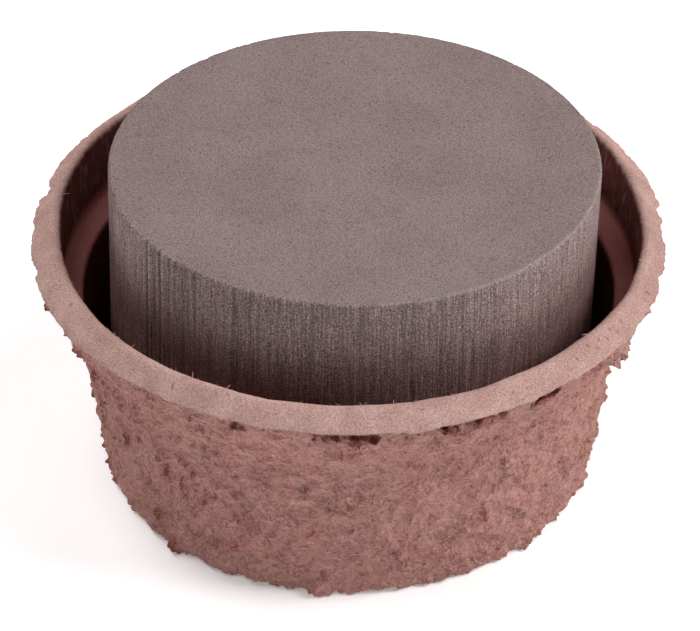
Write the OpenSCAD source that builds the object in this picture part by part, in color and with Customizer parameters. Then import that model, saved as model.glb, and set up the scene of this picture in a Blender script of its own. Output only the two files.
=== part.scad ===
// Round floral foam block standing in a moulded paper pulp bowl.
// Millimetres, +Z up. The origin is the centre of the circle that the bowl stands on.

/* [Foam] */
// Diameter of the foam block
foam_d = 153; // [100:1:240]
// Height of the foam block
foam_h = 103.5; // [90:0.5:140]
// Bevel on the block's two cut edges
foam_bevel = 0.6; // [0.2:0.1:1.5]

/* [Bowl] */
// Thickness of the pulp
wall = 3; // [2:0.1:4]
// Gap around the foot of the foam block
foam_gap = 1.1; // [0.6:0.1:4]
// How much wider the lower wall's radius is at the shoulder than at the floor
lower_flare = 6.5; // [2:0.5:12]
// Height of the shoulder's inner edge
shoulder_h = 63.9; // [50:0.1:70]
// Width of the shoulder that the wall steps out by
shoulder_w = 5.9; // [4:0.1:12]
// How far the shoulder rises across its width
shoulder_rise = 2.8; // [1:0.1:4]
// Height at which the slope of the rim meets the upper wall
rim_h = 85.7; // [80:0.1:90]
// Width of the rim
rim_w = 10; // [8:0.5:20]
// How far the rim falls across its width
rim_drop = 3.4; // [1:0.1:5]
// How far the floor is raised above the ring that the bowl stands on
floor_lift = 3; // [2:0.1:5]
// Width of the ring that the bowl stands on
foot_w = 11; // [9:0.5:16]

/* [Hidden] */
$fn = 180;

pulp_colour = [0.77, 0.59, 0.55];
foam_colour = [0.58, 0.52, 0.51];

// Radii of the bends in the pulp.
edge_bend = 0.8;
rim_bend = 1.6;
upper_bend = 1.5;
shoulder_bend = 2;
foot_bend = 4;
floor_bend = 2;

// Run of the slope from the raised floor down to the foot.
step_w = 4;

floor_z = wall + floor_lift;
foam_r = foam_d / 2;

// Inside radii, from the floor upwards.
bore_r = foam_r + foam_gap;
shoulder_r = bore_r + lower_flare;
upper_r = shoulder_r + shoulder_w;
rim_r = upper_r + rim_w;

// The lower wall leans outwards in a straight line. It is drawn on down to the height asked for.
lean = lower_flare / (shoulder_h - floor_z);
function lower_r(z) = bore_r + (z - floor_z) * lean;

// Radii of the foot's outer and inner edges and of the raised floor, on the underside.
foot_r = lower_r(0) + wall;
foot_in_r = foot_r - foot_w;
floor_r = foot_in_r - step_w;

// Slopes of the shoulder and of the rim: rise for each millimetre outwards.
shoulder_slope = shoulder_rise / shoulder_w;
rim_slope = -rim_drop / rim_w;

// Height of the pulp's underside, a run outwards from a point where a slope starts on top.
function under(z, run, slope) = z + run * slope - wall * sqrt(1 + slope * slope);

// Corners of the bowl's section, each as radius, height and bend. First the side that holds
// the foam, from the middle of the floor out to the rim, and then the rough side back again.
section = [
    [0, floor_z, 0],
    [floor_r, floor_z, floor_bend],
    [foot_in_r, wall, floor_bend],
    [lower_r(wall), wall, foot_bend],
    [shoulder_r, shoulder_h, shoulder_bend],
    [upper_r, shoulder_h + shoulder_rise, upper_bend],
    [upper_r, rim_h, rim_bend],
    [rim_r, rim_h - rim_drop, edge_bend],
    [rim_r, under(rim_h, rim_w, rim_slope), edge_bend],
    [upper_r + wall, under(rim_h, wall, rim_slope), upper_bend],
    [upper_r + wall, under(shoulder_h, shoulder_w + wall, shoulder_slope), upper_bend],
    [shoulder_r + wall, under(shoulder_h, wall, shoulder_slope), upper_bend],
    [foot_r, 0, foot_bend],
    [foot_in_r, 0, edge_bend],
    [floor_r, floor_lift, edge_bend],
    [0, floor_lift, 0]
];

// Arc in place of one corner of an outline, from the line towards one neighbour to the other.
arc_steps = 8;
function flat(corner) = [corner[0], corner[1]];
function unit(v) = v / norm(v);
function bend(before, corner, after) =
    let (
        back = unit(flat(before) - flat(corner)),
        on = unit(flat(after) - flat(corner)),
        half = acos(back * on) / 2,
        turn = 180 - 2 * half,
        centre = flat(corner) + unit(back + on) * corner[2] / sin(half),
        start = unit(flat(corner) + back * corner[2] / tan(half) - centre),
        end = unit(flat(corner) + on * corner[2] / tan(half) - centre)
    )
    [for (i = [0 : arc_steps])
        centre + corner[2] * (start * sin(turn * (1 - i / arc_steps)) + end * sin(turn * i / arc_steps))
            / sin(turn)];

// Outline with every corner bent to its own radius. A corner with no radius stays sharp.
function bent(corners) = [
    for (i = [0 : len(corners) - 1])
        each corners[i][2] == 0 ? [flat(corners[i])]
            : bend(corners[i - 1], corners[i], corners[i + 1])
];

// Moulded pulp bowl: rim, upper wall, shoulder, lower wall, foot and raised floor in one skin.
module pulp_bowl() {
    color(pulp_colour)
        rotate_extrude() polygon(bent(section));
}

// Foam block with straight cut sides, standing on the raised floor.
module foam_block() {
    top_z = floor_z + foam_h;
    color(foam_colour)
        rotate_extrude() polygon([
            [0, floor_z],
            [foam_r - foam_bevel, floor_z],
            [foam_r, floor_z + foam_bevel],
            [foam_r, top_z - foam_bevel],
            [foam_r - foam_bevel, top_z],
            [0, top_z]
        ]);
}

pulp_bowl();
foam_block();
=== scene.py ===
import math

import bpy
import numpy as np
from mathutils import Matrix, Vector


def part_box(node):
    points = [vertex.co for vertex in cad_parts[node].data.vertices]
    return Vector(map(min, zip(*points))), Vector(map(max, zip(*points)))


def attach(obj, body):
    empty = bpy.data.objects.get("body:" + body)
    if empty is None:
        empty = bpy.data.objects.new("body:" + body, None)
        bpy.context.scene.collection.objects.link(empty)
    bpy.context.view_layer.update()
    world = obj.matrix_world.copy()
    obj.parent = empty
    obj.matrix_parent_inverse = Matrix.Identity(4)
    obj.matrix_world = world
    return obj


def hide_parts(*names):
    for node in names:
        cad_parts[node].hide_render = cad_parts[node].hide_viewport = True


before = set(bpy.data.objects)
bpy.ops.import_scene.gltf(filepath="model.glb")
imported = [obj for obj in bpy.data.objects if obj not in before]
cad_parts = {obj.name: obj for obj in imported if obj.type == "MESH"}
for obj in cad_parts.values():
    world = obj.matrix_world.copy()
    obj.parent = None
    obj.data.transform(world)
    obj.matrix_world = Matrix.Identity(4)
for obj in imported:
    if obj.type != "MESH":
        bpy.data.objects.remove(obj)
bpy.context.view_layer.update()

# ---------------------------------------------------------------- driving sizes
# Shapes are worked out in millimetres in the part's frame and turned into metres by make_piece().
MM = 0.001

bowl_low, bowl_high = (np.array(c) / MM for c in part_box("pulp_bowl"))
foam_low, foam_high = (np.array(c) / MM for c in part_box("foam_block"))
RIM_R = (bowl_high[0] - bowl_low[0]) / 2
FOAM_R = (foam_high[0] - foam_low[0]) / 2
FLOOR_Z = foam_low[2]
FOAM_TOP = foam_high[2]

# The section of the bowl and the block, as part.scad has it. RIM_H is where the rim's slope meets
# the upper wall, and the bend there takes a little off the bowl's height.
WALL = 3.0
RIM_W = 10.0
RIM_BEND_FALL = 0.6
RIM_H = bowl_high[2] + RIM_BEND_FALL
UPPER_R = RIM_R - RIM_W
SHOULDER_W = 5.9
SHOULDER_R = UPPER_R - SHOULDER_W
SHOULDER_H = 63.9
SHOULDER_RISE = 2.8
FOAM_GAP = 1.1
BORE_R = FOAM_R + FOAM_GAP
LEAN = (SHOULDER_R - BORE_R) / (SHOULDER_H - FLOOR_Z)
FOOT_R = BORE_R - FLOOR_Z * LEAN + WALL
FOOT_W = 11.0
STEP_W = 4.0
FOOT_IN_R = FOOT_R - FOOT_W
RAISED_R = FOOT_IN_R - STEP_W
FOAM_BEVEL = 0.6

# The felted rim ends at its lower edge, where the rough side begins. RIM_FOOT is the height below
# which the felt is in shade and is made with fewer points.
EDGE_R = RIM_R - 1.2
EDGE_Z = RIM_H - 5.1
RIM_FOOT = RIM_H - 6

# Points round each full ring and round the smallest, and the share of the rim's radius below which
# they are first halved. Then the gaps between rings, finest where the surface is seen closely.
FINE = 1.0
AROUND = int(1024 * FINE)
LEAST_AROUND = 16
HALVED_AT = 0.55
RIM_GAP = 0.55 / FINE
ROUGH_GAP = 0.65 / FINE
UPPER_GAP = 0.9 / FINE
PLAIN_GAP = 1.5 / FINE

# A surface's rings stop at this radius, and a fan of triangles closes the middle.
HUB_R = 1.0

# How the photographed bowl and block differ from true, level circles. The rim sinks towards the
# front and rises towards the back, by so much for each millimetre that way. This starts at TILT_FROM.
TILT_FROM = 30
FRONT_TILT = 0.02
BACK_TILT = 0.04
# How much further out the rim's edge is at the back, and its bore at the back and at the right.
BACK_WIDER = 1.4
BACK_BORE_WIDER = 3.0
RIGHT_BORE_WIDER = 1.5
# How far the block leans towards +X for each millimetre of height.
FOAM_LEAN = 0.0175


# ---------------------------------------------------------------- noise
def smooth(low, high, x):
    """0 below low, 1 above high, and a smooth step between."""
    t = np.clip((x - low) / (high - low), 0, 1)
    return t * t * (3 - 2 * t)


# Multipliers that spread neighbouring cells and seeds over 32 bits, and shifts that stir the bits.
CELL_STEPS = (73856093, 19349663, 83492791)
SEED_STEP = 2654435761
STIRS = ((16, 0x7FEB352D), (15, 0x846CA68B))


def hashed(cell, seed):
    """A whole-number hash of each integer cell."""
    h = np.uint32(seed * SEED_STEP % 2**32)
    for axis, step in enumerate(CELL_STEPS):
        h = h ^ cell[..., axis].astype(np.uint32) * np.uint32(step)
    for shift, step in STIRS:
        h = (h ^ (h >> np.uint32(shift))) * np.uint32(step)
    return h ^ (h >> np.uint32(16))


# Brings the noise to about -1 to 1.
PERLIN_GAIN = 1.25


def perlin(p, size, seed):
    """Gradient noise at points p, about -1 to 1, with features of the given size in millimetres."""
    q = p / size
    cell = np.floor(q).astype(np.int64)
    f = q - cell
    fade = f * f * f * (f * (f * 6 - 15) + 10)
    total = np.zeros(len(p))
    for corner in np.ndindex(2, 2, 2):
        h = hashed(cell + corner, seed)
        weight = np.ones(len(p))
        dot = np.zeros(len(p))
        for axis in range(3):
            on = corner[axis]
            weight *= fade[:, axis] if on else 1 - fade[:, axis]
            # One byte of the hash is the corner's gradient along this axis, from -1 to 1.
            gradient = ((h >> np.uint32(8 * axis)) & np.uint32(255)) / 127.5 - 1
            dot += gradient * (f[:, axis] - on)
        total += weight * dot
    return total * PERLIN_GAIN


def layers(p, size, count, seed, fall=0.5, gap=2.1):
    """Several octaves of perlin(), each finer than the last by gap and weaker by fall."""
    total = np.zeros(len(p))
    for i in range(count):
        total += perlin(p, size / gap**i, seed + i) * fall**i
    return total


def warped(p, size, amount, seed):
    """Points moved about by noise, so that what is sampled there loses its grain."""
    return p + amount * np.stack([perlin(p, size, seed + i) for i in range(3)], axis=1)


def squashed(p, factor):
    """Points with their heights scaled. With a factor under 1, noise sampled there is drawn out upwards."""
    return p * np.array([1, 1, factor])


# ---------------------------------------------------------------- meshes
def arc(before, corner, after, bend, step):
    """Points along the bend at a corner of an outline, start and end included."""
    corner, before, after = (np.array(v, float) for v in (corner, before, after))
    back = (before - corner) / np.linalg.norm(before - corner)
    on = (after - corner) / np.linalg.norm(after - corner)
    half = math.acos(float(back @ on)) / 2
    turn = math.pi - 2 * half
    middle = (back + on) / np.linalg.norm(back + on)
    centre = corner + middle * bend / math.sin(half)
    start = (corner + back * bend / math.tan(half) - centre) / bend
    end = (corner + on * bend / math.tan(half) - centre) / bend
    count = max(3, math.ceil(bend * turn / step))
    t = np.linspace(0, 1, count + 1)[:, None]
    return centre + bend * (start * np.sin((1 - t) * turn) + end * np.sin(t * turn)) / math.sin(turn)


def outline(corners, step):
    """Outline through (radius, height, bend) corners, with a point about every step."""
    points = [np.array([corners[0][:2]], float)]
    for before, corner, after in zip(corners, corners[1:], corners[2:]):
        points.append(arc(before[:2], corner[:2], after[:2], corner[2], step))
    points.append(np.array([corners[-1][:2]], float))
    line = np.concatenate(points)
    lengths = np.concatenate([[0], np.cumsum(np.linalg.norm(np.diff(line, axis=0), axis=1))])
    count = max(2, round(lengths[-1] / step))
    at = np.linspace(0, lengths[-1], count + 1)
    return np.stack([np.interp(at, lengths, line[:, i]) for i in range(2)], axis=1)


def respaced(line, gap):
    """The outline again, with gap[i] between its points near point i."""
    lengths = np.linalg.norm(np.diff(line, axis=0), axis=1)
    passed = np.concatenate([[0], np.cumsum(lengths * 2 / (gap[1:] + gap[:-1]))])
    at = np.linspace(0, passed[-1], round(passed[-1]) + 1)
    return np.stack([np.interp(at, passed, line[:, i]) for i in range(2)], axis=1)


class Turned:
    """A turned surface made of rings, with fewer points on the rings near the axis."""

    def __init__(self):
        self.rings, self.count = [], []

    def add(self, line, counts):
        """Adds an outline's (radius, height) points as rings, with so many points on each."""
        self.rings.extend(line)
        self.count.extend(int(n) for n in counts)

    def points(self):
        """Place and ring number of every vertex."""
        ring = np.repeat(np.arange(len(self.count)), self.count)
        angle = np.concatenate([np.arange(n) * (2 * math.pi / n) for n in self.count])
        r, z = np.array(self.rings)[ring].T
        return np.stack([r * np.cos(angle), r * np.sin(angle), z], axis=1), ring

    def faces(self):
        """Quads between rings of one count, and triangles where the count halves or doubles."""
        start = np.concatenate([[0], np.cumsum(self.count)])
        quads, tris = [], []
        for k in range(len(self.count) - 1):
            n, m = self.count[k], self.count[k + 1]
            if n == m:
                i = np.arange(n)
                j = (i + 1) % n
                a, b = start[k], start[k + 1]
                quads.append(np.stack([a + i, a + j, b + j, b + i], axis=1))
                continue
            many, few = (start[k], start[k + 1]) if n > m else (start[k + 1], start[k])
            least = min(n, m)
            i = np.arange(least)
            j = (i + 1) % least
            t = np.concatenate([
                np.stack([many + 2 * i, many + 2 * i + 1, few + i], axis=1),
                np.stack([many + 2 * i + 1, few + j, few + i], axis=1),
                np.stack([many + 2 * i + 1, many + 2 * j, few + j], axis=1),
            ])
            tris.append(t if n > m else t[:, ::-1])
        # A fan closes each end, round a pole that comes after the points of the rings.
        for k, turn in ((0, 1), (len(self.count) - 1, -1)):
            n = self.count[k]
            i = np.arange(n)
            pole = np.full(n, start[-1] + (k > 0))
            cap = np.stack([(i + 1) % n + start[k], i + start[k], pole], axis=1)
            tris.append(cap[:, ::turn])
        return np.concatenate(quads), np.concatenate(tris)


def normals_of(points, quads, tris):
    """Unit normal at each point, from the faces round it."""
    total = np.zeros_like(points)
    for faces in (quads, tris):
        a, b, c = points[faces[:, 0]], points[faces[:, 1]], points[faces[:, -1]]
        if faces.shape[1] == 4:
            cross = np.cross(points[faces[:, 2]] - a, c - b)
        else:
            cross = np.cross(b - a, c - a)
        for k in range(faces.shape[1]):
            for axis in range(3):
                total[:, axis] += np.bincount(faces[:, k], cross[:, axis], len(points))
    return total / np.maximum(np.linalg.norm(total, axis=1, keepdims=True), 1e-12)


def make_piece(name, points, quads, tris, values=None):
    """A mesh object from points in millimetres, with named values for its material to read.

    Points at the end of the list that a value has no number for, such as the poles, get 0.
    """
    mesh = bpy.data.meshes.new(name)
    mesh.vertices.add(len(points))
    mesh.vertices.foreach_set("co", (points * MM).astype(np.float32).ravel())
    corners = np.concatenate([quads.ravel(), tris.ravel()]).astype(np.int32)
    sizes = np.concatenate([np.full(len(quads), 4), np.full(len(tris), 3)])
    starts = np.concatenate([[0], np.cumsum(sizes)[:-1]]).astype(np.int32)
    mesh.loops.add(len(corners))
    mesh.loops.foreach_set("vertex_index", corners)
    mesh.polygons.add(len(sizes))
    mesh.polygons.foreach_set("loop_start", starts)
    mesh.update(calc_edges=True)
    mesh.validate()
    for value, numbers in (values or {}).items():
        stored = np.zeros(len(points), np.float32)
        stored[:len(numbers)] = numbers
        mesh.attributes.new(value, "FLOAT", "POINT").data.foreach_set("value", stored)
    mesh.shade_smooth()
    piece = bpy.data.objects.new(name, mesh)
    bpy.context.collection.objects.link(piece)
    return piece


# ---------------------------------------------------------------- bowl
def lower_r(z):
    """Inside radius of the leaning lower wall."""
    return BORE_R + (z - FLOOR_Z) * LEAN


def ring_counts(line):
    """How many points each ring gets: halved for each halving of the radius."""
    counts = []
    for r in line[:, 0]:
        n = AROUND
        while n > LEAST_AROUND and r < RIM_R * HALVED_AT * n / AROUND:
            n //= 2
        counts.append(n)
    # Neighbouring rings differ by one halving at most.
    for i in range(1, len(counts)):
        counts[i] = max(counts[i], counts[i - 1] // 2)
    for i in range(len(counts) - 2, -1, -1):
        counts[i] = max(counts[i], counts[i + 1] // 2)
    return counts


def halved_below(height, line, counts):
    """The same counts, halved on the rings below a height."""
    return [n // 2 if z < height else n for z, n in zip(line[:, 1], counts)]


def facing(x, y):
    """Angle round the axis in degrees from the front, positive towards the right."""
    return np.degrees(np.arctan2(x, -y))


# Pockets where the rough pulp has parted from the rim's edge: angle, half width and depth.
POCKETS = (
    (-20, 1.6, 0.6), (-2, 4.0, 0.9), (3, 3.0, 1.0), (18.5, 2.2, 1.0), (25, 4.5, 0.6), (38, 3.0, 1.0),
    (50, 3.5, 0.5), (62, 2.6, 0.9), (-62, 3.0, 0.5), (86, 4.0, 0.8), (118, 3.0, 1.0), (141, 5.0, 0.7),
    (167, 2.5, 0.9), (-171, 3.5, 1.0), (-149, 2.0, 0.7), (-128, 4.5, 0.9), (-97, 3.0, 0.8),
)
# Lumps that hang from the rim's edge: angle, half width and how far they stand out.
HANGING = (
    (59, 4.5, 2.8), (-57, 4.0, 1.0), (74, 5.0, 1.2), (-75, 5.0, 0.6), (104, 7.0, 2.0), (133, 4.0, 1.7),
    (158, 6.0, 2.2), (-160, 5.0, 1.6), (-138, 7.0, 2.2), (-110, 4.0, 1.6),
)
# Lumps round the foot: angle, half width and how far they stand out.
FOOT_LUMPS = (
    (-6.5, 3.0, 2.8), (-21.5, 2.0, 2.0), (-30, 3.5, 1.4), (44, 2.5, 1.6), (23, 3.0, 0.8), (-52, 3.0, 1.0),
    (71, 2.2, 1.4), (99, 3.5, 1.7), (128, 2.0, 1.5), (152, 3.0, 1.2), (-90, 2.4, 1.7), (-119, 3.4, 1.4),
    (-158, 2.5, 1.8),
)
# Chips out of the rim's edge: angle, half width and depth.
CHIPS = (
    (-103, 3.0, 1.9), (-79, 2.2, 1.0), (-92, 1.5, 0.7), (77, 3.0, 0.8), (92, 3.5, 1.0), (98, 2.0, 1.2),
    (-134, 3.0, 1.2), (128, 2.5, 1.3), (160, 3.0, 1.1), (-165, 2.5, 1.5), (-39, 2.5, 0.5),
)


def marks(angles, table, edge=0.35):
    """Marks round the bowl: each one's size out to a share of its half width, and 0 past its half width."""
    total = np.zeros(len(angles))
    for middle, half, size in table:
        off = np.abs((angles - middle + 180) % 360 - 180) / half
        total = np.maximum(total, size * (1 - smooth(edge, 1.0, off)))
    return total


def felt_line():
    """Outline of the side that holds the foam and of the rim, from the middle of the floor.

    The rim is steeper than in part.scad, as in the photo.
    """
    line = outline([
        (HUB_R, FLOOR_Z, 0),
        (RAISED_R, FLOOR_Z, 2),
        (FOOT_IN_R, WALL, 2),
        (lower_r(WALL), WALL, 4),
        (SHOULDER_R, SHOULDER_H, 2),
        (UPPER_R, SHOULDER_H + SHOULDER_RISE, 1.5),
        (UPPER_R, RIM_H + 2.8, 2.2),
        (EDGE_R - 1.6, EDGE_Z + 1.7, 3.0),
        (EDGE_R, EDGE_Z, 0),
    ], RIM_GAP)
    height = line[:, 1]
    gap = np.where(height > RIM_FOOT, RIM_GAP, np.where(height > SHOULDER_H - 3, UPPER_GAP, PLAIN_GAP))
    return respaced(line, gap)


def sections():
    """The rough side as two outlines with matching points: filled under the rim, and with a pocket there."""
    lower = [
        (UPPER_R + 1.2, SHOULDER_H + 2),
        (SHOULDER_R + 1.2, SHOULDER_H - 8),
        (FOOT_R - 1.3, 2.4),
        (FOOT_R - 2.6, 0),
        (FOOT_IN_R, 0),
        (RAISED_R, FLOOR_Z - WALL),
        (HUB_R, FLOOR_Z - WALL),
    ]
    filled = [
        (EDGE_R, EDGE_Z),
        (EDGE_R - 1.2, EDGE_Z - 0.6),
        (EDGE_R - 1.7, EDGE_Z - 1.6),
        (EDGE_R - 2.1, EDGE_Z - 3.0),
        (EDGE_R - 3.6, EDGE_Z - 6.5),
    ]
    pocket = [
        (EDGE_R, EDGE_Z),
        (EDGE_R - 5.0, EDGE_Z + 0.2),
        (EDGE_R - 6.0, EDGE_Z - 5.0),
        (EDGE_R - 2.4, EDGE_Z - 5.9),
        (EDGE_R - 4.0, EDGE_Z - 9.0),
    ]
    return np.array(filled + lower), np.array(pocket + lower)


def matched(filled, pocket, gaps, rounds):
    """Both outlines with the same number of points on each stretch, and their corners eased."""
    counts = [
        max(1, round(max(np.linalg.norm(line[k + 1] - line[k]) for line in (filled, pocket)) / gap))
        for k, gap in enumerate(gaps)
    ]
    eased = []
    for line in (filled, pocket):
        parts = [line[k] + np.arange(n)[:, None] / n * (line[k + 1] - line[k]) for k, n in enumerate(counts)]
        points = np.concatenate([*parts, line[-1:]])
        for _ in range(rounds):
            points[1:-1] = (points[:-2] + 2 * points[1:-1] + points[2:]) / 4
        eased.append(points)
    return eased


def with_pockets(points, at, filled, pocket, faced):
    """The rough side opened into pockets where the table says, and how hollow it is at each point.

    at numbers each point's place on the two outlines. The pockets have ragged ends.
    """
    ragged = faced + 1.6 * perlin(points, 3.0, 5)
    opened = marks(ragged, POCKETS, 0.75) * (0.75 + 0.7 * perlin(points, 2.4, 6))
    opened = np.clip(opened, 0, 1)[:, None]
    line = filled[at] * (1 - opened) + pocket[at] * opened
    hollow = opened[:, 0] * smooth(EDGE_Z - 6.3, EDGE_Z - 5.5, line[:, 1])
    hollow *= 1 - smooth(EDGE_R - 1.2, EDGE_R - 0.4, line[:, 0])
    placed = points.copy()
    placed[:, :2] *= (line[:, 0] / np.hypot(points[:, 0], points[:, 1]))[:, None]
    placed[:, 2] = line[:, 1]
    return placed, hollow


def make_bowl():
    """The bowl's mesh object, a grid of the rough side to lay fibres on, and the ring of the inner lip."""
    felt = felt_line()
    # Eight stretches run from the rim's edge down to the foot, and three run beneath it.
    filled, pocket = matched(*sections(), gaps=[ROUGH_GAP] * 8 + [PLAIN_GAP] * 3, rounds=4)
    surface = Turned()
    surface.add(felt, halved_below(RIM_FOOT, felt, ring_counts(felt)))
    surface.add(filled[1:], ring_counts(filled[1:]))
    base, ring = surface.points()
    first = len(felt)
    outer = ring >= first
    faced = facing(base[:, 0], base[:, 1])
    place = ring[outer] - first + 1
    base[outer], hollow = with_pockets(base[outer], place, filled, pocket, faced[outer])

    poles = np.array([[0, 0, FLOOR_Z], [0, 0, FLOOR_Z - WALL]], float)
    quads, tris = surface.faces()
    normal = normals_of(np.concatenate([base, poles]), quads, tris)[:-len(poles)]
    moved = base.copy()
    moved[~outer] = felted(base[~outer], normal[~outer], faced[~outer])
    moved[outer], relief_shade = matted(base[outer], normal[outer], faced[outer])
    tilt = np.where(moved[:, 1] < 0, FRONT_TILT, BACK_TILT)
    moved[:, 2] += tilt * moved[:, 1] * smooth(TILT_FROM, RIM_FOOT, moved[:, 2])
    moved[outer, 2] = np.maximum(moved[outer, 2], 0)

    values = {name: np.zeros(len(base)) for name in ("rough", "relief_shade", "shaded_inside", "ledge", "nick")}
    for name, numbers in felt_values(base[~outer], faced[~outer]).items():
        values[name][~outer] = numbers
    # The pockets are painted darker still, as painted shade.
    values["relief_shade"][outer] = relief_shade - 1.3 * hollow
    values["rough"][outer] = smooth(0, 3, ring[outer] - first)

    # The inner lip is the ring nearest to the start of the rim's slope.
    full_rings = surface.count[first:].count(AROUND)
    grid = moved[outer & (ring < first + full_rings)].reshape(full_rings, AROUND, 3)
    lip_ring = np.argmin(np.hypot(felt[:, 0] - UPPER_R - 0.9, felt[:, 1] - RIM_H))
    lip = moved[ring == lip_ring]
    return make_piece("moulded_bowl", np.concatenate([moved, poles]), quads, tris, values), grid, lip


# Nicks in the felt of the rim, each as its angle and radius. They are this long and wide, from the middle
# out, and are painted dark as shade.
NICK_LONG = 1.0
NICK_WIDE = 0.5
NICKS = (
    (49.5, 94.2), (51.2, 96.1), (52.6, 94.6), (54.6, 95.9), (56.4, 94.4), (57.5, 96.4), (60.2, 95.2),
    (46.0, 95.4), (-33.0, 95.5), (-63.5, 94.4), (71.0, 96.8), (-118.0, 96.0), (149.0, 95.0),
)


def nicked(radial, faced):
    """How deep in a nick each point of the rim is, from 0 to 1."""
    total = np.zeros(len(radial))
    for middle, at_r in NICKS:
        across = (faced - middle) * math.radians(at_r) / NICK_WIDE
        along = (radial - at_r) / NICK_LONG
        total = np.maximum(total, 1 - smooth(0.2, 1.0, np.hypot(across, along)))
    return total


def felt_values(base, faced):
    """What the pulp's material is told about the felted side, each from 0 to 1.

    inside is 1 below the rim, where the wall is painted in shade; ledge is 1 on the shoulder, which is
    painted a lighter, redder shade; and nick is 1 in the middle of a nick, which is painted dark as shade.
    """
    radial = np.hypot(base[:, 0], base[:, 1])
    uneven = 0.5 * perlin(squashed(base, 0.4), 1.8, 87)
    ledge_top = SHOULDER_H + SHOULDER_RISE
    ledge = smooth(SHOULDER_H - 2.5, SHOULDER_H, base[:, 2])
    ledge *= 1 - smooth(ledge_top + 0.3, ledge_top + 5, base[:, 2])
    return {
        "shaded_inside": 1 - smooth(UPPER_R - 0.1, UPPER_R + 0.9, radial + uneven),
        "ledge": ledge,
        "nick": nicked(radial, faced),
    }


def chipped(base, faced):
    """How far the rim's edge is worn back at each point, in millimetres."""
    ragged = faced + 1.5 * perlin(base, 4, 91)
    return marks(ragged, CHIPS, 0.3) * (0.8 + 0.5 * perlin(base, 1.7, 93))


def at_back(faced):
    """0 from the front to the sides, and 1 at the back."""
    return smooth(82, 122, np.abs(faced))


def side_on(faced):
    """0 at the front, where the rim's edge is neat, and 1 round the sides and the back."""
    return smooth(28, 62, np.abs(faced))


def edge_shift(base, faced, torn):
    """How far the rim's edge stands out past a true circle. torn is noise from 0 to about 1."""
    return side_on(faced) * (0.8 - 1.2 * torn) - chipped(base, faced) + BACK_WIDER * at_back(faced)


def felted(base, normal, faced):
    """Where the points of the felted side go: a soft felt with a slightly uneven edge."""
    radial = np.hypot(base[:, 0], base[:, 1])
    out = squashed(base, 0) / radial[:, None]
    at_edge = smooth(EDGE_R - 3.0, EDGE_R - 0.5, radial) * (base[:, 2] > SHOULDER_H)
    upper = smooth(SHOULDER_H + 6, RIM_H - 2, base[:, 2])
    felt = (0.2 + 0.2 * upper) * layers(base, 15, 2, 81) + 0.1 * layers(base, 2.4, 2, 85)
    torn = np.abs(layers(squashed(base, 0.5), 4.6, 2, 95, 0.5))
    edge = at_edge * edge_shift(base, faced, torn)
    wider = np.maximum(BACK_BORE_WIDER * at_back(faced), RIGHT_BORE_WIDER * smooth(40, 72, faced))
    edge += wider * upper * (1 - smooth(UPPER_R + 2, EDGE_R - 2, radial))
    wave = at_edge * 0.35 * layers(base, 9, 2, 97)
    felt -= 0.35 * nicked(radial, faced)
    moved = base + normal * felt[:, None] + out * edge[:, None]
    moved[:, 2] += wave
    return moved


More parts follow.
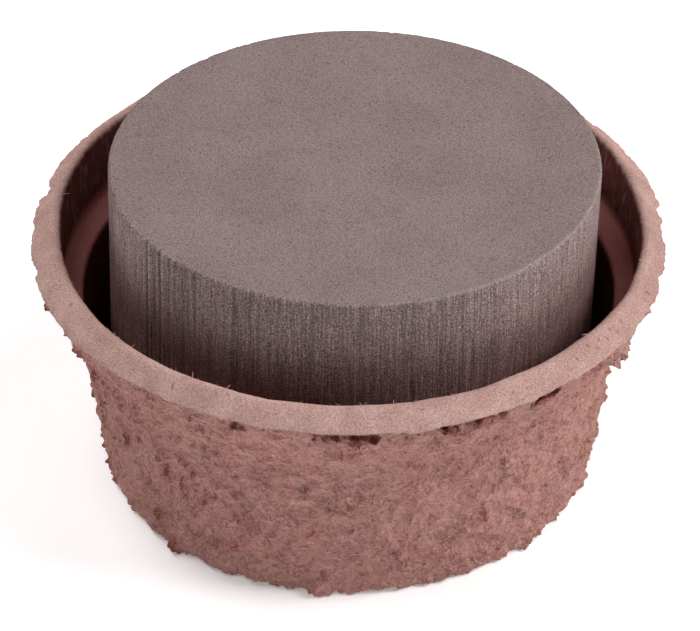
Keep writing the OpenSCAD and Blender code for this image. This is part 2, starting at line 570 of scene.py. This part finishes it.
def matted(base, normal, faced):
    """The rough side: where its points go, and how high each stands.

    The heights run from under 0 in a pit to 1 on a ridge, for the material to read, which paints them as
    shade in the pits, slots, dents and creases and as light on the ridges.
    """
    z = base[:, 2]
    radial = np.hypot(base[:, 0], base[:, 1])
    out = squashed(base, 0) / radial[:, None]
    under_rim = smooth(SHOULDER_H + 2, RIM_H - 11, z)
    near_edge = smooth(EDGE_Z - 3.5, EDGE_Z, z)
    at_foot = (1 - smooth(3, 9, z)) * smooth(FOOT_R - 7, FOOT_R - 3, radial)
    beneath = 1 - smooth(FOOT_R - 6, FOOT_R - 2.5, radial)

    # Broad swells, crumpled clumps and flakes with steep edges.
    loose = warped(base, 8, 2.6, 11)
    swell = layers(loose, 24, 2, 21)
    clump = np.abs(layers(warped(base, 5, 2.4, 31), 8.5, 2, 41, 0.6))
    stepped = 2.3 * layers(squashed(loose, 0.55), 8, 3, 51, 0.6) + 7
    flake = np.floor(stepped) + smooth(0.78, 1.0, stepped % 1) - stepped
    crumple = 0.3 - np.abs(layers(warped(base, 4.0, 2.2, 55), 5.6, 3, 57, 0.5))

    # Slots in clusters, long creases, dents and fine crumbs.
    clusters = smooth(0.05, 0.5, perlin(base, 26, 68) + 0.55 * (1 - smooth(-48, -18, faced)))
    slot = smooth(0.36, 0.5, perlin(warped(squashed(base, 0.42), 2.2, 1.4, 61), 2.3, 65)) * clusters
    winding = warped(base, 6, 3.5, 74)
    crease = 1 - smooth(0.0, 0.09, np.abs(perlin(winding, 15, 78)))
    crease = np.maximum(crease, 0.7 - smooth(0.0, 0.13, np.abs(perlin(winding, 8, 80))))
    crease *= smooth(-0.1, 0.3, perlin(base, 9, 79))
    dent = smooth(0.5, 0.72, perlin(warped(base, 3, 1.8, 62), 5.5, 66))
    crumb = 0.28 - np.abs(perlin(warped(base, 1.6, 0.7, 71), 2.0, 75))
    height = (
        0.6 * swell + 1.1 * (clump - 0.3) + 0.8 * (flake + 0.4) + 1.4 * crumple
        - 1.4 * slot - 0.5 * dent - 1.3 * crease + 0.1 * crumb
    )
    height *= (1 - 0.85 * beneath) * (1 - 0.55 * near_edge)

    # Torn lumps that hang under the rim and stick out round the foot, and the rim's worn edge.
    ragged = faced + 2.5 * perlin(base, 5, 92)
    torn = np.abs(layers(squashed(base, 0.5), 3.2, 3, 96, 0.6))
    hang = under_rim * (1 - 0.6 * near_edge) * marks(ragged, HANGING, 0.2) * (0.5 + 1.1 * torn)
    foot = at_foot * marks(ragged, FOOT_LUMPS, 0.1) * (0.7 + 0.6 * torn)
    worn = near_edge * edge_shift(base, faced, torn)
    moved = base + normal * height[:, None] + out * (hang + foot + worn)[:, None]
    moved[:, 2] -= 1.3 * hang

    # Drawn sideways a little, so that flakes overhang.
    drift = np.stack([perlin(base, 3.6, 101 + i) for i in range(3)], axis=1)
    moved += 0.4 * drift * (1 - beneath)[:, None] * (1 - near_edge)[:, None]
    # Painted shade and light: this value darkens the colour in pits, slots, dents and creases and lightens
    # it on ridges.
    relief_shade = 0.62 + 0.75 * crumple + 0.25 * (clump - 0.3) + 0.2 * crumb + 0.35 * (flake + 0.4)
    relief_shade -= (1.2 * slot + 0.2 * dent) * (1 - near_edge) + 0.4 * crease
    return moved, np.clip(relief_shade, -1.2, 1)


# ---------------------------------------------------------------- fibres
# Loose fibres on the rough side and short hairs on the rim's inner lip: how many of each, how many
# points along one, the loose fibres' least and greatest length, and the least and greatest radius.
FIBRES = 2400
LIP_HAIRS = 110
FIBRE_STEPS = 7
FIBRE_LENGTHS = (2.5, 8)
FIBRE_RADII = (0.06, 0.12)


def unit(v):
    """Vectors brought to a length of 1."""
    return v / np.maximum(np.linalg.norm(v, axis=-1, keepdims=True), 1e-9)


def laid_fibres(grid, rng):
    """Paths of loose fibres that curl over the rough side, and the way up at each point."""
    rings, around, _ = grid.shape
    count = int(FIBRES * FINE)
    t = np.linspace(0, 1, FIBRE_STEPS)
    # Rows of the grid that are clear of the foot.
    wall = np.nonzero(grid[:, 0, 2] > 2)[0]
    row = rng.uniform(wall[0] + 3, wall[-1] - 3, count)
    column = rng.uniform(0, around, count)
    length = rng.uniform(*FIBRE_LENGTHS, count)
    heading = rng.uniform(0, 2 * math.pi, count)
    curl = rng.normal(0, 2.4, count)
    wiggle = rng.normal(0, 0.7, (count, FIBRE_STEPS)).cumsum(axis=1)
    aim = heading[:, None] + curl[:, None] * t + 0.35 * wiggle
    stride = length[:, None] / (FIBRE_STEPS - 1)
    point_gap = 2 * math.pi * SHOULDER_R / around
    v = row[:, None] + np.cumsum(np.sin(aim) * stride, axis=1) / ROUGH_GAP
    u = column[:, None] + np.cumsum(np.cos(aim) * stride, axis=1) / point_gap
    v = np.clip(v, wall[0] + 1, wall[-1] - 1)

    # Each point's place and the way up there, from the corners of its cell of the grid.
    i, j = np.floor(v).astype(int), np.floor(u).astype(int)
    a, b = (v - i)[..., None], (u - j)[..., None]
    j0, j1 = j % around, (j + 1) % around
    above = grid[i, j0] * (1 - b) + grid[i, j1] * b
    below = grid[i + 1, j0] * (1 - b) + grid[i + 1, j1] * b
    across = grid[i, (j + 3) % around] - grid[i, (j - 3) % around]
    down = grid[np.minimum(i + 3, rings - 1), j0] - grid[np.maximum(i - 3, 0), j0]
    up = unit(np.cross(down, across))
    up *= np.sign(np.sum(up * squashed(above, 0), axis=2, keepdims=True))
    # Ends lie in the pulp and the middle stands clear of it.
    lift = 0.16 + rng.uniform(0, 0.35, count)[:, None] * np.sin(math.pi * t)
    lift = lift * np.where((t == 0) | (t == 1), -0.5, 1)
    return above * (1 - a) + below * a + up * lift[..., None], up


def lip_hairs(lip, rng):
    """Paths of short hairs that stand up along the rim's inner lip."""
    count = int(LIP_HAIRS * FINE)
    root = lip[rng.integers(0, len(lip), count)]
    inwards = unit(squashed(-root, 0))
    aside = np.cross(inwards, [0, 0, 1])
    way = inwards * rng.uniform(0.2, 1.0, (count, 1)) + aside * rng.normal(0, 0.8, (count, 1))
    way[:, 2] += rng.uniform(0.3, 1.0, count)
    bent = rng.normal(0, 0.6, (count, 3))
    length = (0.5 + rng.exponential(0.35, count))[:, None, None]
    t = np.linspace(0, 1, FIBRE_STEPS)[None, :, None]
    path = root[:, None] + length * ((t - 0.15) * unit(way)[:, None] + bent[:, None] * t * t)
    return path, np.broadcast_to(unit(np.cross(way, aside))[:, None], path.shape)


def make_fibres(grid, lip):
    """Loose paper fibres, as thin three-sided threads."""
    rng = np.random.default_rng(7)
    laid, hairs = laid_fibres(grid, rng), lip_hairs(lip, rng)
    at, up = (np.concatenate(pair) for pair in zip(laid, hairs))
    count = len(at)
    t = np.linspace(-1, 1, FIBRE_STEPS)
    beside = unit(np.cross(unit(np.gradient(at, axis=1)), up))
    thick = rng.uniform(*FIBRE_RADII, count)[:, None, None] * (1 - 0.5 * np.abs(t) ** 3)[None, :, None]
    turns = math.pi / 2 + np.arange(3) * 2 * math.pi / 3
    strands = [at + thick * (math.cos(turn) * beside + math.sin(turn) * up) for turn in turns]
    points = np.stack(strands, axis=2).reshape(-1, 3)
    points[:, 2] = np.maximum(points[:, 2], 0)

    start = np.arange(count)[:, None, None] * FIBRE_STEPS * 3
    step = np.arange(FIBRE_STEPS - 1)[None, :, None] * 3
    side = np.arange(3)[None, None, :]
    a = start + step + side
    b = start + step + (side + 1) % 3
    quads = np.stack([a, b, b + 3, a + 3], axis=-1)
    ends = start[:, 0, 0]
    last = ends + (FIBRE_STEPS - 1) * 3
    tris = np.concatenate([np.stack([ends + 2, ends + 1, ends], 1), np.stack([last, last + 1, last + 2], 1)])
    return make_piece("pulp_fibres", points, quads.reshape(-1, 4), tris)


# ---------------------------------------------------------------- foam
# Single streaks that stand out on the foam's side: angle, and how far each stands proud or is sunk.
CUTS = (
    (-54.8, -1.6), (-53.7, 2.2), (-51.7, -1.1), (-50.6, 0.7), (-49.8, -1.4), (-48.8, 1.8), (-46.6, -0.9),
    (-45.6, 1.0), (-42.3, -1.2), (-38.5, -0.9), (-35.2, 0.8), (-28.0, -0.8), (13.2, -0.8), (26.5, 0.7),
)
# Stretches of the side that are smoother, and painted paler as painted light: angle, half width and
# strength.
PLAIN_LIT_STRETCHES = ((-64, 13, 0.9), (62, 42, 0.9))


def foam_line():
    """The block's outline, with its rings closest together at the top edge."""
    line = outline([
        (HUB_R, FLOOR_Z, 0),
        (FOAM_R, FLOOR_Z, FOAM_BEVEL),
        (FOAM_R, FOAM_TOP, FOAM_BEVEL),
        (HUB_R, FOAM_TOP, 0),
    ], RIM_GAP)
    near_edge = (line[:, 0] > FOAM_R - 3) & (line[:, 1] > FOAM_TOP - 3)
    return respaced(line, np.where(near_edge, RIM_GAP, 2 * PLAIN_GAP))


def streaked(base, faced, plain_and_lit):
    """Streaks left by the cut: many fine ones, a few deep ones that come in groups, and single ones."""
    cut = squashed(base, 0.012)
    fine = layers(cut, 1.5, 2, 211, 0.7)
    deep = np.clip(perlin(cut, 2.0, 214), -0.8, 0.8) * smooth(0.0, 0.45, perlin(cut, 19, 217))
    streak = (0.55 * fine + 1.1 * deep) * (1 - 0.75 * plain_and_lit)
    for middle, size in CUTS:
        streak += size * (1 - smooth(0.1, 0.6, np.abs(faced - middle)))
    return streak


def make_foam():
    """The block: flat top and foot, a side with cut streaks, and a crumbled top edge."""
    line = foam_line()
    surface = Turned()
    surface.add(line, ring_counts(line))
    base, _ = surface.points()
    quads, tris = surface.faces()
    poles = np.array([[0, 0, FLOOR_Z], [0, 0, FOAM_TOP]], float)
    normal = normals_of(np.concatenate([base, poles]), quads, tris)[:-len(poles)]
    faced = facing(base[:, 0], base[:, 1])
    side = smooth(FOAM_R - 1.2, FOAM_R - 0.3, np.hypot(base[:, 0], base[:, 1]))
    edge = side * smooth(FOAM_TOP - 1.2, FOAM_TOP - 0.3, base[:, 2])
    plain_and_lit = marks(faced, PLAIN_LIT_STRETCHES, 0.5)
    streak = streaked(base, faced, plain_and_lit)
    grain = perlin(base, 1.1, 221) + 0.6 * perlin(base, 0.7 / FINE, 223)
    crumble = edge * (0.12 + 0.55 * smooth(0.25, 0.6, perlin(base, 2.6, 231)))
    height = side * 0.16 * streak + 0.06 * grain * (edge > 0) - crumble
    moved = base + normal * height[:, None]
    moved[:, 2] = np.maximum(moved[:, 2], FLOOR_Z)
    for points in (moved, poles):
        points[:, 0] += FOAM_LEAN * (points[:, 2] - FLOOR_Z)
    values = {
        "side": side,
        "streak": streak,
        # Where the side is painted paler as painted light, fading out towards the bottom.
        "plain_and_lit": plain_and_lit * side * smooth(RIM_H - 14, RIM_H + 8, base[:, 2]),
        # A painted highlight along the top edge at the front and right.
        "edge": edge * smooth(-20, 25, faced) * (1 - smooth(95, 120, faced)),
    }
    return make_piece("foam_round", np.concatenate([moved, poles]), quads, tris, values)


# ---------------------------------------------------------------- materials
# Colours, as linear red, green and blue.
# PULP_PIT is painted shade in the rough side's pits, creases and pockets and in the felt's nicks, and also
# the colour of the felt's dark specks; PULP_RIDGE is painted light on the rough side's ridges, and also a
# fibre colour.
PULP_PIT = (0.2, 0.058, 0.049)
PULP_MATTED = (0.39, 0.192, 0.166)
PULP_RIDGE = (0.475, 0.292, 0.251)
PULP_FIBRE = (0.52, 0.34, 0.3)
FELT_DARK = (0.33, 0.202, 0.178)
FELT_LIGHT = (0.385, 0.248, 0.218)
# The next two are painted shade below the rim: very dark on the wall, lighter and redder on its ledge.
FELT_INSIDE_SHADE = (0.12, 0.037, 0.034)
FELT_LEDGE_SHADE = (0.46, 0.18, 0.165)
FOAM_DARK = (0.174, 0.128, 0.124)
FOAM_LIGHT = (0.193, 0.146, 0.141)
# Painted shade low on the block's side.
FOAM_DEEP_SHADE = (0.15, 0.077, 0.073)
FOAM_PORE = (0.06, 0.04, 0.04)
# Painted highlight along the block's top edge.
FOAM_EDGE_HIGHLIGHT = (0.27, 0.25, 0.225)

# Pulp and dry foam hardly shine.
ROUGHNESS = 0.95
SHINE = 0.05


class Graph:
    """One material's node tree, with a short call for each kind of node that is used here."""

    def __init__(self, name):
        self.material = bpy.data.materials.new(name)
        self.material.use_nodes = True
        self.tree = self.material.node_tree
        self.shader = self.tree.nodes["Principled BSDF"]
        self.place = self.node("ShaderNodeTexCoord").outputs["Object"]

    def node(self, kind, inputs=(), **settings):
        """Adds a node. inputs maps a socket's name or number to a value or to another node's socket."""
        made = self.tree.nodes.new(kind)
        for name, value in settings.items():
            setattr(made, name, value)
        for name, value in dict(inputs).items():
            self.put(made.inputs[name], value)
        return made

    def put(self, socket, value):
        """Sets a socket, or links another node's socket to it."""
        if isinstance(value, bpy.types.NodeSocket):
            self.tree.links.new(value, socket)
        else:
            socket.default_value = value

    def value(self, name):
        """The mesh's own value of that name."""
        return self.node("ShaderNodeAttribute", attribute_name=name).outputs["Fac"]

    def math(self, operation, a, b=0.0, c=0.0):
        """A sum on up to three numbers."""
        return self.node("ShaderNodeMath", {0: a, 1: b, 2: c}, operation=operation).outputs[0]

    def stretched(self, factors):
        """The place on the surface, stretched by a factor along each axis."""
        inputs = {"Vector": self.place, "Scale": factors}
        return self.node("ShaderNodeMapping", inputs).outputs[0]

    def noise(self, size, detail=2.0, rough=0.5, twist=0.0, at=None, seed=0.0):
        """Noise from 0 to 1 with features of a size in millimetres."""
        inputs = {
            "Vector": self.place if at is None else at,
            "W": seed,
            "Scale": 1 / (size * MM),
            "Detail": detail,
            "Roughness": rough,
            "Distortion": twist,
        }
        return self.node("ShaderNodeTexNoise", inputs, noise_dimensions="4D").outputs["Fac"]

    def span(self, value, low, high, to_low=0.0, to_high=1.0, smoothly=True):
        """Maps low..high to to_low..to_high and stops there."""
        inputs = {"Value": value, "From Min": low, "From Max": high, "To Min": to_low, "To Max": to_high}
        kind = "SMOOTHSTEP" if smoothly else "LINEAR"
        return self.node("ShaderNodeMapRange", inputs, interpolation_type=kind).outputs[0]

    # A Mix node repeats its sockets for each kind of value, so they are picked by number.
    def blend(self, share, a, b):
        """Number a, going over to number b as share goes from 0 to 1."""
        return self.node("ShaderNodeMix", {0: share, 2: a, 3: b}, data_type="FLOAT").outputs[0]

    def mix(self, share, a, b):
        """Colour a, going over to colour b as share goes from 0 to 1."""
        a, b = (c if isinstance(c, bpy.types.NodeSocket) else (*c, 1) for c in (a, b))
        return self.node("ShaderNodeMix", {0: share, 6: a, 7: b}, data_type="RGBA").outputs[2]

    def brightened(self, colour, amount):
        """A colour times a number."""
        inputs = {0: colour, "Scale": amount}
        return self.node("ShaderNodeVectorMath", inputs, operation="SCALE").outputs[0]

    def fibres(self, sets):
        """Curved lines like loose fibres, in sets of (size, width, seed) that fade in and out."""
        total = 0.0
        for size, width, seed in sets:
            off = self.math("SUBTRACT", self.noise(size, 1.0, 0.4, 0.6, seed=seed), 0.5)
            off = self.math("ABSOLUTE", off)
            shown = self.span(self.noise(9.0, 1.0, seed=seed + 40), 0.42, 0.62)
            line = self.math("MULTIPLY", self.span(off, 0.0, width, 1.0, 0.0), shown)
            total = self.math("MAXIMUM", line, total)
        return total

    def finish(self, colour, height, depth):
        """Ends in the shader: colour, and a bump of depth millimetres."""
        bump = self.node("ShaderNodeBump", {"Height": height, "Strength": 1.0, "Distance": depth * MM})
        self.put(self.shader.inputs["Normal"], bump.outputs[0])
        self.put(self.shader.inputs["Base Color"], colour)
        self.put(self.shader.inputs["Roughness"], ROUGHNESS)
        self.put(self.shader.inputs["Specular IOR Level"], SHINE)
        return self.material


def pulp_material():
    """Felted pulp on the side that holds the foam, and matted rough pulp outside."""
    g = Graph("moulded_pulp")
    rough = g.value("rough")
    relief_shade = g.value("relief_shade")

    # Rough side: painted shade in dark red in the pits, through a dull red, to a greyish tan as painted
    # light on the ridges. The thin dark crease lines are painted shade too.
    mat = g.noise(1.2, 3.0, 0.65, 0.2, seed=8.0)
    speckle = g.noise(0.5, 2.0, 0.6, seed=10.0)
    blotch = g.noise(7.0, 2.0, 0.55, 0.3, seed=9.0)
    fibres = g.fibres(((4.2, 0.03, 1.0), (2.8, 0.04, 2.0), (6.5, 0.02, 3.0)))
    creases = g.fibres(((6.0, 0.018, 51.0), (9.0, 0.014, 52.0), (3.6, 0.03, 53.0)))
    tone = relief_shade
    for part, amount in ((mat, 2.2), (speckle, 2.6), (blotch, 0.35), (fibres, 0.6), (creases, -0.6)):
        tone = g.math("MULTIPLY_ADD", part, amount, tone)
    shade = g.mix(g.span(tone, 1.9, 3.15, smoothly=False), PULP_PIT, PULP_MATTED)
    shade = g.mix(g.span(tone, 3.15, 4.1, smoothly=False), shade, PULP_RIDGE)

    # Felted side: fine even grain, a few dark specks and faint clouds. Below the rim the wall is painted
    # very dark as painted shade, and its ledge a lighter, redder painted shade.
    grain = g.noise(0.5, 2.0, 0.6, seed=11.0)
    cloud = g.noise(8.0, 2.0, seed=12.0)
    speck = g.span(g.noise(1.1, 1.0, seed=13.0), 0.66, 0.74)
    felt = g.mix(g.span(cloud, 0.35, 0.65), FELT_DARK, FELT_LIGHT)
    felt = g.brightened(felt, g.span(grain, 0.3, 0.7, 0.72, 1.28))
    felt = g.mix(g.math("MULTIPLY", speck, 0.45), felt, PULP_PIT)
    # The nicks are painted dark as shade.
    felt = g.mix(g.value("nick"), felt, PULP_PIT)
    # Painted shade on the wall below the rim and on its ledge.
    shaded_inside = g.mix(g.value("ledge"), FELT_INSIDE_SHADE, FELT_LEDGE_SHADE)
    shaded_inside = g.brightened(shaded_inside, g.span(grain, 0.3, 0.7, 0.8, 1.2))
    felt = g.mix(g.value("shaded_inside"), felt, shaded_inside)
    colour = g.mix(rough, felt, shade)

    matted_height = mat
    for part, amount in ((speckle, 0.6), (fibres, 0.25), (creases, -0.3)):
        matted_height = g.math("MULTIPLY_ADD", part, amount, matted_height)
    felt_height = g.math("MULTIPLY", grain, 0.2)
    return g.finish(colour, g.blend(rough, felt_height, matted_height), 0.75)


def fibre_material():
    """Bleached paper fibre, paler at some places than at others."""
    g = Graph("paper_fibre")
    colour = g.mix(g.span(g.noise(9.0, 1.0, seed=31.0), 0.35, 0.65), PULP_RIDGE, PULP_FIBRE)
    return g.finish(colour, g.noise(0.3, 1.0, seed=32.0), 0.05)


def foam_material():
    """Dry floral foam: fine open grain on the top, and cut streaks down the side."""
    g = Graph("dry_floral_foam")
    side = g.value("side")
    grain = g.noise(0.46, 3.0, 0.7, seed=21.0)
    pores = g.span(g.noise(0.9, 1.0, seed=22.0), 0.58, 0.7)
    cloud = g.noise(22.0, 2.0, seed=23.0)
    fine_streak = g.noise(0.55, 2.0, 0.6, at=g.stretched((1, 1, 0.04)), seed=24.0)
    height = g.node("ShaderNodeSeparateXYZ", {0: g.place}).outputs["Z"]
    # Painted shade: the side goes darker and redder towards the bottom, where the bowl's wall shades it.
    deep = g.span(height, (RIM_H - 22) * MM, (FOAM_TOP - 4) * MM, 1.0, 0.12)
    # Painted light: the smoother stretches are paler, fading out towards the bottom.
    plain_and_lit = g.span(g.value("plain_and_lit"), 0.0, 1.0, 1.0, 1.25)

    colour = g.mix(g.span(cloud, 0.3, 0.7), FOAM_DARK, FOAM_LIGHT)
    colour = g.mix(g.math("MULTIPLY", side, deep), colour, FOAM_DEEP_SHADE)
    colour = g.brightened(colour, plain_and_lit)
    colour = g.brightened(colour, g.span(grain, 0.3, 0.7, 0.55, 1.45))
    sharper = g.span(g.noise(0.5, 2.0, 0.6, seed=25.0), 0.3, 0.7, -0.5, 0.5)
    colour = g.brightened(colour, g.math("ADD", g.math("MULTIPLY", sharper, side), 1.0))
    colour = g.mix(g.math("MULTIPLY", pores, 0.4), colour, FOAM_PORE)
    # Painted shade and light: sunk cuts are painted darker and proud ones paler.
    cuts = g.math("MULTIPLY", g.value("streak"), 0.22)
    lines = g.math("ADD", cuts, g.span(fine_streak, 0.3, 0.7, -0.28, 0.28))
    colour = g.brightened(colour, g.math("ADD", g.math("MULTIPLY", lines, side), 1.0))
    # Painted highlight: a pale line along the top edge at the front and right.
    colour = g.mix(g.math("MULTIPLY", g.value("edge"), 0.4), colour, FOAM_EDGE_HIGHLIGHT)
    bump = g.math("ADD", grain, g.math("MULTIPLY", g.math("MULTIPLY", fine_streak, side), 0.8))
    return g.finish(colour, bump, 0.42)


# ---------------------------------------------------------------- pieces
bowl, rough_grid, lip = make_bowl()
fibres = make_fibres(rough_grid, lip)
foam = make_foam()
for piece, material, body, node, slot in (
    (bowl, pulp_material(), "bowl", "pulp_bowl", "pulp"),
    (fibres, fibre_material(), "bowl", None, "pulp"),
    (foam, foam_material(), "foam", "foam_block", "foam"),
):
    piece.data.materials.append(material)
    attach(piece, body)
    if node:
        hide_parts(node)

# ---------------------------------------------------------------- stage
# From here on, sizes are in metres.
WHITE = (1, 1, 1, 1)
FLOOR_HALF = 4.0
FLOOR_PAINT = (0.93, 0.93, 0.93, 1)
FLOOR_ROUGHNESS = 0.9
# The far floor glows, so that it meets the white of the studio without a seam: distances from the
# bowl where the glow starts to rise and stops, and its strength at each.
GLOW_FROM = 0.6
GLOW_TO = 1.7
NEAR_GLOW = 0.18
FAR_GLOW = 1.0


def make_floor():
    """A wide pale floor."""
    mesh = bpy.data.meshes.new("floor")
    corners = [(x * FLOOR_HALF, y * FLOOR_HALF, 0) for x, y in ((-1, -1), (1, -1), (1, 1), (-1, 1))]
    mesh.from_pydata(corners, [], [(0, 1, 2, 3)])
    paint = Graph("floor")
    paint.put(paint.shader.inputs["Base Color"], FLOOR_PAINT)
    paint.put(paint.shader.inputs["Roughness"], FLOOR_ROUGHNESS)
    paint.put(paint.shader.inputs["Emission Color"], WHITE)
    away = paint.node("ShaderNodeVectorMath", {0: paint.place}, operation="LENGTH").outputs["Value"]
    glow = paint.span(away, GLOW_FROM, GLOW_TO, NEAR_GLOW, FAR_GLOW)
    paint.put(paint.shader.inputs["Emission Strength"], glow)
    mesh.materials.append(paint.material)
    made = bpy.data.objects.new("floor", mesh)
    bpy.context.collection.objects.link(made)
    return made


floor = make_floor()

LIGHT_AIM = Vector((0, 0, 0.06))
LIGHT_DISTANCE = 1.5
LIGHT_SIZE = 0.8
# Soft lights: azimuth from the front towards the right, elevation, and power in watts.
LIGHTS = {
    "right_light": (80, 40, 20.5),
    "high_right_light": (80, 65, 5.2),
    "high_left_light": (-80, 65, 9.4),
    "back_left_light": (-130, 45, 10.1),
    "back_light": (180, 45, 2.5),
    "front_left_light": (-40, 15, 3.6),
    "front_right_light": (40, 15, 2.9),
}


def add_light(name, azimuth, elevation, power):
    """A round soft light that shines on the object from azimuth and elevation in degrees."""
    turn, rise = math.radians(azimuth), math.radians(elevation)
    towards = Vector((math.sin(turn) * math.cos(rise), -math.cos(turn) * math.cos(rise), math.sin(rise)))
    lamp = bpy.data.lights.new(name, "AREA")
    lamp.shape = "DISK"
    lamp.size = LIGHT_SIZE
    lamp.energy = power
    holder = bpy.data.objects.new(name, lamp)
    holder.location = LIGHT_AIM + LIGHT_DISTANCE * towards
    holder.rotation_euler = (-towards).to_track_quat("-Z", "Y").to_euler()
    bpy.context.collection.objects.link(holder)


for name, (azimuth, elevation, power) in LIGHTS.items():
    add_light(name, azimuth, elevation, power)

# The white studio shows behind the object and lights nothing.
world = bpy.data.worlds.new("studio")
bpy.context.scene.world = world
world.use_nodes = True
background = world.node_tree.nodes["Background"]
background.inputs["Color"].default_value = WHITE
background.inputs["Strength"].default_value = 1.0
world.cycles_visibility.diffuse = False
world.cycles_visibility.glossy = False
bpy.context.scene.view_settings.view_transform = "Standard"

# ---------------------------------------------------------------- camera
# Fitted to the outlines of the rim, shoulder, foot and foam in the photo. The sensor's width and
# the lens are in millimetres.
ELEVATION = math.radians(36.2)
DISTANCE = 1.2
ROLL = math.radians(0.27)
AIM = Vector((0.0005, 0, 0.0498))
SENSOR_W = 36
LENS = 193.37

lens = bpy.data.cameras.new("camera")
lens.sensor_width = SENSOR_W
lens.lens = LENS
camera = bpy.data.objects.new("camera", lens)
back = Vector((0, -math.cos(ELEVATION), math.sin(ELEVATION)))
camera.location = AIM + DISTANCE * back
upright = (-back).to_track_quat("-Z", "Y").to_matrix()
camera.rotation_euler = (upright @ Matrix.Rotation(ROLL, 3, "Z")).to_euler()
bpy.context.collection.objects.link(camera)
bpy.context.scene.camera = camera
